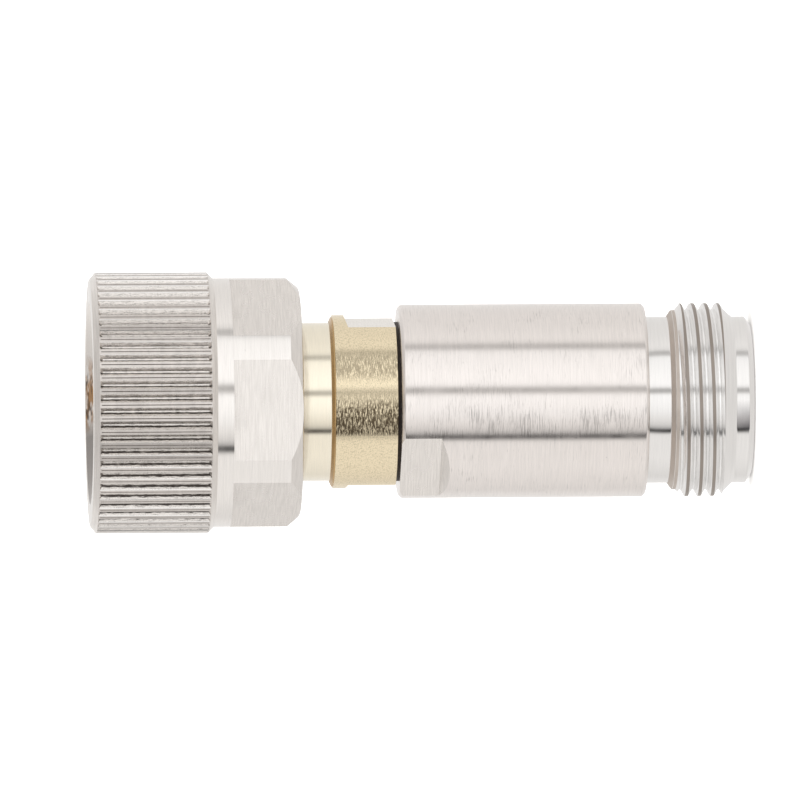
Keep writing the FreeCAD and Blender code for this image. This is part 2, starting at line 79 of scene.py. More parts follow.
# A turning mark is this many times as long as it is wide.
MARK_LENGTH = 22


class NutSizes(bpy.types.PropertyGroup):
    """Sizes of the coupling nut."""

    crest_radius: bpy.props.FloatProperty(
        name="Crest radius", description="Radius over the knurl's crests", default=nut_high.x, unit="LENGTH")
    groove_depth: bpy.props.FloatProperty(
        name="Groove depth", description="Depth of one knurl groove", default=0.38 * MM, unit="LENGTH")
    groove_width: bpy.props.FloatProperty(
        name="Groove width", description="Width of one knurl groove", default=0.70 * MM, unit="LENGTH")
    groove_floor: bpy.props.FloatProperty(
        name="Groove floor", description="Width of a knurl groove's flat floor", default=0.13 * MM,
        unit="LENGTH")
    groove_run: bpy.props.FloatProperty(
        name="Groove run", description="Length of the slope at each end of a groove", default=0.25 * MM,
        unit="LENGTH")
    seam_depth: bpy.props.FloatProperty(
        name="Seam depth", description="Depth of the rolled seam along each tooth", default=0.03 * MM,
        unit="LENGTH")
    seam_width: bpy.props.FloatProperty(
        name="Seam width", description="Width of the rolled seam along each tooth", default=0.08 * MM,
        unit="LENGTH")
    tooth_edge: bpy.props.FloatProperty(
        name="Tooth edge", description="Width of the worn round along a knurl tooth", default=0.06 * MM,
        unit="LENGTH")
    teeth: bpy.props.IntProperty(name="Teeth", description="Number of knurl teeth", default=60, min=3)
    knurl_length: bpy.props.FloatProperty(
        name="Knurl length", description="Length of the knurled band", default=9.22 * MM,
        unit="LENGTH")
    neck_radius: bpy.props.FloatProperty(
        name="Neck radius", description="Radius behind the knurl", default=10.23 * MM, unit="LENGTH")
    across_flats: bpy.props.FloatProperty(
        name="Across flats", description="Width over two wrench flats", default=18.72 * MM, unit="LENGTH")
    clock: bpy.props.FloatProperty(
        name="Clock", description="Turn of the first flat about the axis", default=math.radians(15.7),
        subtype="ANGLE")
    edge: bpy.props.FloatProperty(
        name="Edge", description="Width of the broken edges", default=0.05 * MM, unit="LENGTH")


class BodySizes(bpy.types.PropertyGroup):
    """Sizes of the gold plated body."""

    collar_radius: bpy.props.FloatProperty(
        name="Collar radius", description="Radius of the collar", default=brass_high.x, unit="LENGTH")
    neck_radius: bpy.props.FloatProperty(
        name="Neck radius", description="Radius of the neck that carries the nut", default=6.5 * MM,
        unit="LENGTH")
    across_flats: bpy.props.FloatProperty(
        name="Across flats", description="Width over the collar's flats", default=13.08 * MM, unit="LENGTH")
    clock: bpy.props.FloatProperty(
        name="Clock", description="Turn of the flats about the axis", default=math.radians(42),
        subtype="ANGLE")
    edge: bpy.props.FloatProperty(
        name="Edge", description="Width of the broken edges", default=0.04 * MM, unit="LENGTH")


class BarrelSizes(bpy.types.PropertyGroup):
    """Sizes of the steel barrel and its threaded jack."""

    radius: bpy.props.FloatProperty(
        name="Radius", description="Radius of the barrel", default=barrel_high.x, unit="LENGTH")
    across_flats: bpy.props.FloatProperty(
        name="Across flats", description="Width over the barrel's flats", default=14.2 * MM, unit="LENGTH")
    thread_radius: bpy.props.FloatProperty(
        name="Thread radius", description="Radius over the thread's crests", default=7.9375 * MM,
        unit="LENGTH")
    thread_root: bpy.props.FloatProperty(
        name="Thread root", description="Radius at the thread's root", default=7.395 * MM, unit="LENGTH")
    edge: bpy.props.FloatProperty(
        name="Edge", description="Width of the broken edges", default=0.05 * MM, unit="LENGTH")


class FinishColours(bpy.types.PropertyGroup):
    """Colours of the finishes, as hex values."""

    steel: bpy.props.StringProperty(name="Steel", description="Clean stainless steel", default="EEE9E4")
    bright_steel: bpy.props.StringProperty(
        name="Bright steel", description="Polished stainless steel", default="F0EEEC")
    dull_steel: bpy.props.StringProperty(
        name="Dull steel", description="Land beside the thread", default="CAC0B7")
    # Painted shade: the colour of the dark line along each knurl groove's floor.
    groove_shade: bpy.props.StringProperty(name="Groove shade", description="Painted shade along each knurl groove", default="352E2A")
    gold: bpy.props.StringProperty(name="Gold", description="Gold plating on the collar", default="F3E4C4")
    pale_gold: bpy.props.StringProperty(
        name="Pale gold", description="Thin plating on the neck", default="FAF2DF")
    rubber: bpy.props.StringProperty(name="Rubber", description="Black seal rubber", default="26170C")
    silicone: bpy.props.StringProperty(
        name="Silicone", description="Red-brown gasket rubber", default="9A4A2C")
    insulator: bpy.props.StringProperty(
        name="Insulator", description="White moulded bead", default="E9E4D8")


class CameraView(bpy.types.PropertyGroup):
    """Where the photograph was taken from. The adapter stands on its jack and lies across the picture."""

    azimuth: bpy.props.FloatProperty(
        name="Azimuth", description="Direction of the camera about the axis", default=math.radians(49.6),
        subtype="ANGLE")
    elevation: bpy.props.FloatProperty(
        name="Elevation", description="Height of the camera over the level", default=math.radians(3.1),
        subtype="ANGLE")
    roll: bpy.props.FloatProperty(
        name="Roll", description="How far the axis rises to the right", default=math.radians(0.36),
        subtype="ANGLE")
    distance: bpy.props.FloatProperty(
        name="Distance", description="From the camera to the axis", default=1.7, unit="LENGTH")
    aim_height: bpy.props.FloatProperty(
        name="Aim height", description="Height on the axis at the picture's middle", default=28.79 * MM,
        unit="LENGTH")
    aim_rise: bpy.props.FloatProperty(
        name="Aim rise", description="How far the picture's middle is above the axis", default=0.115 * MM,
        unit="LENGTH")
    view_width: bpy.props.FloatProperty(
        name="View width", description="Width of the picture at the axis", default=65.74 * MM,
        unit="LENGTH")


def deselect():
    bpy.ops.object.select_all(action="DESELECT")


def activate(piece):
    deselect()
    piece.select_set(True)
    bpy.context.view_layer.objects.active = piece


def settle(piece):
    """Puts the piece's place into its mesh, so its object sits at the origin."""
    activate(piece)
    bpy.ops.object.transform_apply(location=True, rotation=True, scale=True)


def close_up():
    """Merges doubles and turns the faces outwards; the piece is in edit mode."""
    bpy.ops.mesh.select_all(action="SELECT")
    bpy.ops.mesh.remove_doubles(threshold=WELD)
    bpy.ops.mesh.normals_make_consistent(inside=False)
    bpy.ops.object.mode_set(mode="OBJECT")


def turned(name, section, columns, solid=False):
    """A turned piece: a circle drawn up through the half section's (radius, height) points.

    A hollow piece comes back to its first point. A solid one is capped at both ends.
    """
    deselect()
    radius, height = section[0]
    bpy.ops.mesh.primitive_circle_add(
        vertices=columns, radius=radius, fill_type="NGON" if solid else "NOTHING", location=(0, 0, height))
    piece = bpy.context.object
    piece.name = name
    piece.data.name = name
    bpy.ops.object.mode_set(mode="EDIT")
    for next_radius, next_height in section[1:] + ([] if solid else section[:1]):
        bpy.ops.mesh.extrude_edges_move(TRANSFORM_OT_translate={"value": (0, 0, next_height - height)})
        scale = next_radius / radius
        bpy.ops.transform.resize(value=(scale, scale, 1), center_override=(0, 0, next_height))
        radius = next_radius
        height = next_height
    if solid:
        bpy.ops.mesh.edge_face_add()
    close_up()
    settle(piece)
    return piece


def place_corners(piece, targets):
    """Moves each vertex to its target, one at a time, in edit mode."""
    for index, target in enumerate(targets):
        bpy.ops.object.mode_set(mode="EDIT")
        bpy.ops.mesh.select_mode(type="VERT")
        bpy.ops.mesh.select_all(action="DESELECT")
        bpy.ops.object.mode_set(mode="OBJECT")
        vertex = piece.data.vertices[index]
        vertex.select = True
        step = Vector(target) - vertex.co
        bpy.ops.object.mode_set(mode="EDIT")
        bpy.ops.transform.translate(value=step)
    bpy.ops.mesh.select_all(action="SELECT")


def bar(name, outline, low, high):
    """A straight bar with the given (x, y) outline, from one height to another."""
    deselect()
    bpy.ops.mesh.primitive_circle_add(vertices=len(outline), radius=MM, fill_type="NGON")
    piece = bpy.context.object
    piece.name = name
    place_corners(piece, [(across, along, low) for across, along in outline])
    bpy.ops.mesh.extrude_region_move(TRANSFORM_OT_translate={"value": (0, 0, high - low)})
    close_up()
    return piece


def crossbar(name, outline, half_width):
    """A bar with an upright (x, z) outline that runs along y."""
    piece = bar(name, outline, -half_width, half_width)
    piece.rotation_euler.x = math.pi / 2
    settle(piece)
    return piece


def repeat_round(piece, count, clock=0.0):
    """Copies of a piece about the axis, joined into one. The first is turned by clock."""
    piece.rotation_euler.z = clock
    settle(piece)
    copies = [piece]
    for index in range(1, count):
        activate(piece)
        bpy.ops.object.duplicate(linked=False)
        copy = bpy.context.object
        copy.rotation_euler.z = index * math.tau / count
        settle(copy)
        copies.append(copy)
    deselect()
    for copy in copies:
        copy.select_set(True)
    bpy.context.view_layer.objects.active = piece
    bpy.ops.object.join()
    return piece


def groove_space(name, nut, crest, low, high):
    """The space of one knurl groove: a trapezoid across, with both ends sloped."""
    reach = crest + 0.3 * MM
    floor = crest - nut.groove_depth
    rise = (reach - floor) / nut.groove_depth
    half_floor = nut.groove_floor / 2
    half_top = half_floor + (nut.groove_width / 2 - half_floor) * rise
    run = nut.groove_run * rise
    inset = nut.groove_run
    piece = bar(
        name, [(floor, -half_floor), (reach, -half_top), (reach, half_top), (floor, half_floor)], low, high)
    targets = []
    for corner in piece.data.vertices:
        at_floor = corner.co.x < (floor + reach) / 2
        side = math.copysign(half_floor if at_floor else half_top, corner.co.y)
        outwards = inset if at_floor else inset - run
        height = low + outwards if corner.co.z < (low + high) / 2 else high - outwards
        targets.append((floor if at_floor else reach, side, height))
    place_corners(piece, targets)
    close_up()
    return piece


def thread_space(name, half_outline, start, turns, clock):
    """The space between a thread's ridges, as one solid that winds up round the axis.

    half_outline holds (radius, half width) points of its section. Its middle stands at the height
    start in the direction clock.
    """
    deselect()
    bpy.ops.mesh.primitive_circle_add(vertices=2 * len(half_outline), radius=MM, fill_type="NOTHING")
    piece = bpy.context.object
    piece.name = name
    lower = [(radius, 0, start - half) for radius, half in half_outline]
    upper = [(radius, 0, start + half) for radius, half in reversed(half_outline)]
    place_corners(piece, lower + upper)
    bpy.ops.object.mode_set(mode="OBJECT")
    screw = piece.modifiers.new("wind", "SCREW")
    screw.axis = "Z"
    screw.angle = math.tau
    screw.screw_offset = THREAD_PITCH
    screw.iterations = turns
    screw.steps = THREAD_STEPS
    screw.render_steps = THREAD_STEPS
    activate(piece)
    bpy.ops.object.modifier_apply(modifier=screw.name)
    bpy.ops.object.mode_set(mode="EDIT")
    bpy.ops.mesh.select_all(action="SELECT")
    bpy.ops.mesh.fill_holes(sides=0)
    close_up()
    piece.rotation_euler.z = clock
    settle(piece)
    return piece


def cut(piece, cutter, finish=None):
    """Cuts the cutter out of the piece. The new faces take the cutter's finish."""
    if finish is not None:
        cutter.data.materials.append(finish)
    modifier = piece.modifiers.new("cut", "BOOLEAN")
    modifier.operation = "DIFFERENCE"
    modifier.solver = "EXACT"
    modifier.material_mode = "TRANSFER"
    modifier.object = cutter
    activate(piece)
    bpy.ops.object.modifier_apply(modifier=modifier.name)
    bpy.data.objects.remove(cutter)


def soften(piece, width, wanted=None):
    """Rounds the sharp edges, or those of them that wanted picks by the radius and height."""
    activate(piece)
    bpy.ops.object.mode_set(mode="EDIT")
    bpy.ops.mesh.select_mode(type="EDGE")
    bpy.ops.mesh.select_all(action="DESELECT")
    bpy.ops.mesh.edges_select_sharp(sharpness=SHARP_ANGLE)
    if wanted is not None:
        bpy.ops.object.mode_set(mode="OBJECT")
        corners = piece.data.vertices
        for face in piece.data.polygons:
            face.select = False
        for edge in piece.data.edges:
            if edge.select:
                middle = (corners[edge.vertices[0]].co + corners[edge.vertices[1]].co) / 2
                edge.select = wanted(math.hypot(middle.x, middle.y), middle.z)
        bpy.ops.object.mode_set(mode="EDIT")
    bpy.ops.mesh.bevel(offset=width, segments=EDGE_STEPS, affect="EDGES", clamp_overlap=False)
    bpy.ops.object.mode_set(mode="OBJECT")


def smooth(piece):
    """Shades the curved faces round and keeps the flat ones flat up to their edges."""
    activate(piece)
    bpy.ops.object.shade_smooth_by_angle(angle=SMOOTH_ANGLE)
    weighted = piece.modifiers.new("flat_faces", "WEIGHTED_NORMAL")
    weighted.keep_sharp = True
    weighted.weight = 50
    bpy.ops.object.modifier_apply(modifier=weighted.name)


def stand_for(piece, node, body):
    """The piece takes the CAD node's place and motion: it rides the body, and the node is hidden."""
    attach(piece, body)
    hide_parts(node)


def finish_faces(piece, finish, wanted):
    """Gives a finish to the faces that wanted picks by radius and height of their middle, and by normal."""
    piece.data.materials.append(finish)
    slot = len(piece.data.materials) - 1
    for face in piece.data.polygons:
        middle = face.center
        if wanted(math.hypot(middle.x, middle.y), middle.z, face.normal):
            face.material_index = slot


def linear(hex_colour):
    """An sRGB hex colour as linear red, green, blue and alpha."""
    channels = []
    for start in (0, 2, 4):
        value = int(hex_colour[start:start + 2], 16) / 255
        channels.append(value / 12.92 if value <= 0.04045 else ((value + 0.055) / 1.055) ** 2.4)
    return (*channels, 1.0)


def add_node(tree, kind, settings):
    """Adds a node. A key names a property, or an input by name or number, and a socket is linked to it."""
    node = tree.nodes.new(kind)
    for key, value in settings.items():
        if isinstance(value, bpy.types.NodeSocket):
            tree.links.new(value, node.inputs[key])
        elif isinstance(key, int) or key in node.inputs:
            node.inputs[key].default_value = value
        else:
            setattr(node, key, value)
    return node


def new_material(name):
    material = bpy.data.materials.new(name)
    material.use_nodes = True
    material.node_tree.nodes.clear()
    return material, material.node_tree


def darker(colour, share):
    return tuple(channel * share for channel in colour[:3]) + (1.0,)


def grain(tree, around, along, detail=3.0, roughness=0.6):
    """An uneven pattern, with its size across the axis and along it in metres."""
    place = add_node(tree, "ShaderNodeTexCoord", {})
    counted = add_node(tree, "ShaderNodeVectorMath", {
        "operation": "MULTIPLY", 0: place.outputs["Object"], 1: (1 / around, 1 / around, 1 / along)})
    clouds = add_node(tree, "ShaderNodeTexNoise", {
        "Scale": 1.0, "Detail": detail, "Roughness": roughness, "Vector": counted.outputs[0]})
    return clouds.outputs["Fac"]


def direction(tree):
    """The direction about the axis, in radians from +X."""
    place = add_node(tree, "ShaderNodeTexCoord", {})
    axes = add_node(tree, "ShaderNodeSeparateXYZ", {0: place.outputs["Object"]})
    turn = add_node(tree, "ShaderNodeMath", {
        "operation": "ARCTAN2", 0: axes.outputs[1], 1: axes.outputs[0]})
    return turn.outputs[0]


def between(tree, value, start, full, last, end):
    """A share that rises from start to full and falls from last to end."""
    rise = add_node(tree, "ShaderNodeMapRange", {"From Min": start, "From Max": full, "Value": value})
    fall = add_node(tree, "ShaderNodeMapRange", {"From Min": end, "From Max": last, "Value": value})
    both = add_node(tree, "ShaderNodeMath", {
        "operation": "MULTIPLY", 0: rise.outputs[0], 1: fall.outputs[0]})
    return both.outputs[0]


def one_side(tree, *degrees):
    """A share that rises and falls between four directions about the axis."""
    return between(tree, direction(tree), *(math.radians(turn) for turn in degrees))


def turned_metal(
        name, colour, roughness, blur, line_pitch, line_depth, shade=0.06, pits=0.0, film=None,
        scuffs=0.0):
    """A lathe-turned metal: fine rings that stretch each reflection along the axis, and small pits.

    Real turning marks are too fine to show in the render, so their pitch is drawn at 0.1 mm or more.
    A film is the colour of a smudge and the four directions in degrees between which it fades in and
    out. Scuffs are short scratches that run round the piece, most of them on the side that lies
    downwards.
    """
    material, tree = new_material(name)
    rings = grain(tree, MARK_LENGTH * line_pitch, line_pitch)
    clouds = grain(tree, 2.2 * MM, 1.6 * MM, 2.0, 0.5)
    specks = grain(tree, 0.22 * MM, 0.16 * MM, 2.0, 0.5)
    lines = add_node(tree, "ShaderNodeMapRange", {"From Min": 0.35, "From Max": 0.65, "Value": rings})
    tint = add_node(tree, "ShaderNodeMix", {
        "data_type": "RGBA", 0: lines.outputs[0], 6: colour, 7: darker(colour, 1 - shade)})
    share = add_node(tree, "ShaderNodeMapRange", {
        "From Min": 0.76 - 0.06 * pits, "From Max": 0.80, "To Max": min(pits, 0.8), "Value": specks})
    if scuffs:
        scratches = grain(tree, 1.3 * MM, 0.04 * MM, 3.0, 0.65)
        islands = grain(tree, 2.4 * MM, 2.8 * MM, 2.0, 0.5)
        amount = add_node(tree, "ShaderNodeMath", {
            "operation": "MULTIPLY_ADD", 0: one_side(tree, -66, -61, -52, -38), 1: 0.26, 2: islands})
        marks = add_node(tree, "ShaderNodeMath", {
            "operation": "MULTIPLY_ADD", 0: amount.outputs[0], 1: 0.35, 2: scratches})
        marked = add_node(tree, "ShaderNodeMapRange", {
            "From Min": 0.79, "From Max": 0.93, "To Max": scuffs, "Value": marks.outputs[0]})
        share = add_node(tree, "ShaderNodeMath", {
            "operation": "MAXIMUM", 0: share.outputs[0], 1: marked.outputs[0]})
    worn = add_node(tree, "ShaderNodeMix", {
        "data_type": "RGBA", 0: share.outputs[0], 6: tint.outputs[2], 7: darker(colour, 0.25)})
    if film is not None:
        film_colour, *directions = film
        patchy = add_node(tree, "ShaderNodeMath", {"operation": "ADD", 0: clouds, 1: 0.4})
        patch = add_node(tree, "ShaderNodeMath", {
            "operation": "MULTIPLY", 0: one_side(tree, *directions), 1: patchy.outputs[0]})
        worn = add_node(tree, "ShaderNodeMix", {
            "data_type": "RGBA", 0: patch.outputs[0], 6: worn.outputs[2], 7: film_colour})
    gloss = add_node(tree, "ShaderNodeMapRange", {
        "From Min": 0.3, "From Max": 0.7, "To Min": roughness * 0.8, "To Max": roughness * 1.2,
        "Value": clouds})
    bump = add_node(tree, "ShaderNodeBump", {"Strength": 1.0, "Distance": line_depth, "Height": rings})
    tangent = add_node(tree, "ShaderNodeTangent", {"direction_type": "RADIAL", "axis": "Z"})
    surface = add_node(tree, "ShaderNodeBsdfPrincipled", {
        "Metallic": 1.0, "Anisotropic": blur, "Anisotropic Rotation": 0.25,
        "Base Color": worn.outputs[2], "Roughness": gloss.outputs[0], "Normal": bump.outputs[0],
        "Tangent": tangent.outputs[0]})
    add_node(tree, "ShaderNodeOutputMaterial", {"Surface": surface.outputs[0]})
    return name, material


def grooved_metal(name, colour, groove_shade, teeth, clock):
    """The knurl's grooves: rough from the tool, with a ragged dark line of painted shade on one side of each
    floor.
    """
    material, tree = new_material(name)
    pitches = add_node(tree, "ShaderNodeMath", {
        "operation": "MULTIPLY_ADD", 0: direction(tree), 1: teeth / math.tau, 2: -clock * teeth / math.tau})
    across = add_node(tree, "ShaderNodeMath", {
        "operation": "WRAP", 0: pitches.outputs[0], 1: 0.5, 2: -0.5})
    streaks = grain(tree, 0.07 * MM, 0.6 * MM, 4.0, 0.65)
    grit = grain(tree, 0.05 * MM, 0.07 * MM, 3.0, 0.75)
    ragged = add_node(tree, "ShaderNodeMath", {
        "operation": "MULTIPLY_ADD", 0: streaks, 1: 0.22, 2: across.outputs[0]})
    # Painted shade: a ragged dark line along each groove's floor, a little to one side of its middle.
    line = between(tree, ragged.outputs[0], -0.085, -0.045, 0.03, 0.07)
    painted_groove_shade = add_node(tree, "ShaderNodeMath", {"operation": "MULTIPLY", 0: line, 1: 0.95})
    torn = add_node(tree, "ShaderNodeMath", {"operation": "MULTIPLY", 0: streaks, 1: grit})
    spots = add_node(tree, "ShaderNodeMapRange", {
        "From Min": 0.25, "From Max": 0.38, "To Max": 0.6, "Value": torn.outputs[0]})
    share = add_node(tree, "ShaderNodeMath", {
        "operation": "MAXIMUM", 0: painted_groove_shade.outputs[0], 1: spots.outputs[0]})
    tint = add_node(tree, "ShaderNodeMix", {
        "data_type": "RGBA", 0: share.outputs[0], 6: colour, 7: groove_shade})
    bump = add_node(tree, "ShaderNodeBump", {
        "Strength": 1.0, "Distance": 30e-6, "Height": torn.outputs[0]})
    surface = add_node(tree, "ShaderNodeBsdfPrincipled", {
        "Metallic": 1.0, "Roughness": 0.24, "Base Color": tint.outputs[2], "Normal": bump.outputs[0]})
    add_node(tree, "ShaderNodeOutputMaterial", {"Surface": surface.outputs[0]})
    return name, material


def worn_gold_with_painted_reflection(name, colour, worn_and_reflection_colour, roughness):
    """Gold plating rubbed through on one side in fine scratches round the collar; partly wear, partly a
    painted dark reflection.
    """
    material, tree = new_material(name)
    scratches = grain(tree, 0.5 * MM, 0.07 * MM, 4.0, 0.7)
    clouds = grain(tree, 0.7 * MM, 0.6 * MM)
    skin = grain(tree, 0.12 * MM, 0.1 * MM)
    specks = grain(tree, 0.16 * MM, 0.13 * MM, 2.0, 0.5)
    uneven = add_node(tree, "ShaderNodeMath", {"operation": "MULTIPLY_ADD", 0: clouds, 1: 1.7, 2: 0.6})
    # Rubbed plating and a painted dark reflection: a patch over one side, laid in the fine scratches.
    rubbed_and_dark_reflection = add_node(tree, "ShaderNodeMath", {
        "operation": "MULTIPLY", 0: one_side(tree, -64.4, -60, -50, -33), 1: uneven.outputs[0]})
    area = add_node(tree, "ShaderNodeMath", {
        "operation": "MULTIPLY_ADD", 0: one_side(tree, -29, -22, -12, -3), 1: 0.58, 2: rubbed_and_dark_reflection.outputs[0]})
    dark = add_node(tree, "ShaderNodeMapRange", {"From Min": 0.43, "From Max": 0.52, "Value": scratches})
    scratched = add_node(tree, "ShaderNodeMath", {
        "operation": "MULTIPLY", 0: area.outputs[0], 1: dark.outputs[0]})
    pitted = add_node(tree, "ShaderNodeMapRange", {"From Min": 0.71, "From Max": 0.76, "Value": specks})
    share = add_node(tree, "ShaderNodeMath", {
        "operation": "MAXIMUM", 0: scratched.outputs[0], 1: pitted.outputs[0]})
    cast = add_node(tree, "ShaderNodeMapRange", {"From Min": 0.47, "From Max": 0.66, "Value": skin})
    tint = add_node(tree, "ShaderNodeMix", {
        "data_type": "RGBA", 0: cast.outputs[0], 6: colour, 7: darker(colour, 0.78)})
    worn = add_node(tree, "ShaderNodeMix", {
        "data_type": "RGBA", 0: share.outputs[0], 6: tint.outputs[2], 7: worn_and_reflection_colour})
    rough = add_node(tree, "ShaderNodeMath", {"operation": "ADD", 0: area.outputs[0], 1: 0.05})
    height = add_node(tree, "ShaderNodeMath", {
        "operation": "MULTIPLY", 0: scratches, 1: rough.outputs[0]})
    bump = add_node(tree, "ShaderNodeBump", {
        "Strength": 1.0, "Distance": 16e-6, "Height": height.outputs[0]})
    tangent = add_node(tree, "ShaderNodeTangent", {"direction_type": "RADIAL", "axis": "Z"})
    surface = add_node(tree, "ShaderNodeBsdfPrincipled", {
        "Metallic": 1.0, "Roughness": roughness, "Anisotropic": 0.6, "Anisotropic Rotation": 0.25,
        "Base Color": worn.outputs[2], "Normal": bump.outputs[0], "Tangent": tangent.outputs[0]})
    add_node(tree, "ShaderNodeOutputMaterial", {"Surface": surface.outputs[0]})
    return name, material


def stained_metal(name, colour, stain, dark):
    """Steel with brown stains and black spots in patches, and painted shade over one side, as in the nut's
    mouth.
    """
    material, tree = new_material(name)
    side = one_side(tree, 110, 124, 150, 160)
    clouds = grain(tree, 1.6 * MM, 0.3 * MM, 2.0, 0.5)
    brown = add_node(tree, "ShaderNodeMapRange", {"From Min": 0.40, "From Max": 0.56, "Value": clouds})
    stained = add_node(tree, "ShaderNodeMath", {"operation": "MULTIPLY", 0: brown.outputs[0], 1: side})
    tint = add_node(tree, "ShaderNodeMix", {
        "data_type": "RGBA", 0: stained.outputs[0], 6: colour, 7: stain})
    spots = grain(tree, 0.9 * MM, 0.2 * MM, 1.0)
    black = add_node(tree, "ShaderNodeMapRange", {
        "From Min": 0.52, "From Max": 0.64, "To Max": 0.7, "Value": spots})
    share = add_node(tree, "ShaderNodeMath", {"operation": "MULTIPLY", 0: black.outputs[0], 1: side})
    # Painted shade: the dark colour fades in over one side of the mouth.
    for start, full in ((146, 160), (-125, -140)):
        skin = add_node(tree, "ShaderNodeMapRange", {
            "From Min": math.radians(start), "From Max": math.radians(full), "To Max": 0.6,
            "Value": direction(tree)})
        share = add_node(tree, "ShaderNodeMath", {
            "operation": "MAXIMUM", 0: share.outputs[0], 1: skin.outputs[0]})
    worn = add_node(tree, "ShaderNodeMix", {
        "data_type": "RGBA", 0: share.outputs[0], 6: tint.outputs[2], 7: dark})
    surface = add_node(tree, "ShaderNodeBsdfPrincipled", {
        "Metallic": 1.0, "Roughness": 0.25, "Base Color": worn.outputs[2]})
    add_node(tree, "ShaderNodeOutputMaterial", {"Surface": surface.outputs[0]})
    return name, material


def plain_solid(name, colour, roughness, skin_size, skin_depth):
    """A moulded material: even colour with a fine skin."""
    material, tree = new_material(name)
    skin = grain(tree, skin_size, skin_size)
    tint = add_node(tree, "ShaderNodeMix", {
        "data_type": "RGBA", 0: skin, 6: colour, 7: darker(colour, 0.9)})
    bump = add_node(tree, "ShaderNodeBump", {"Distance": skin_depth, "Height": skin})
    surface = add_node(tree, "ShaderNodeBsdfPrincipled", {
        "Roughness": roughness, "Base Color": tint.outputs[2], "Normal": bump.outputs[0]})
    add_node(tree, "ShaderNodeOutputMaterial", {"Surface": surface.outputs[0]})
    return name, material


# Kept under their own names, since the CAD's materials may already have taken some of these names.
FINISHES = {}


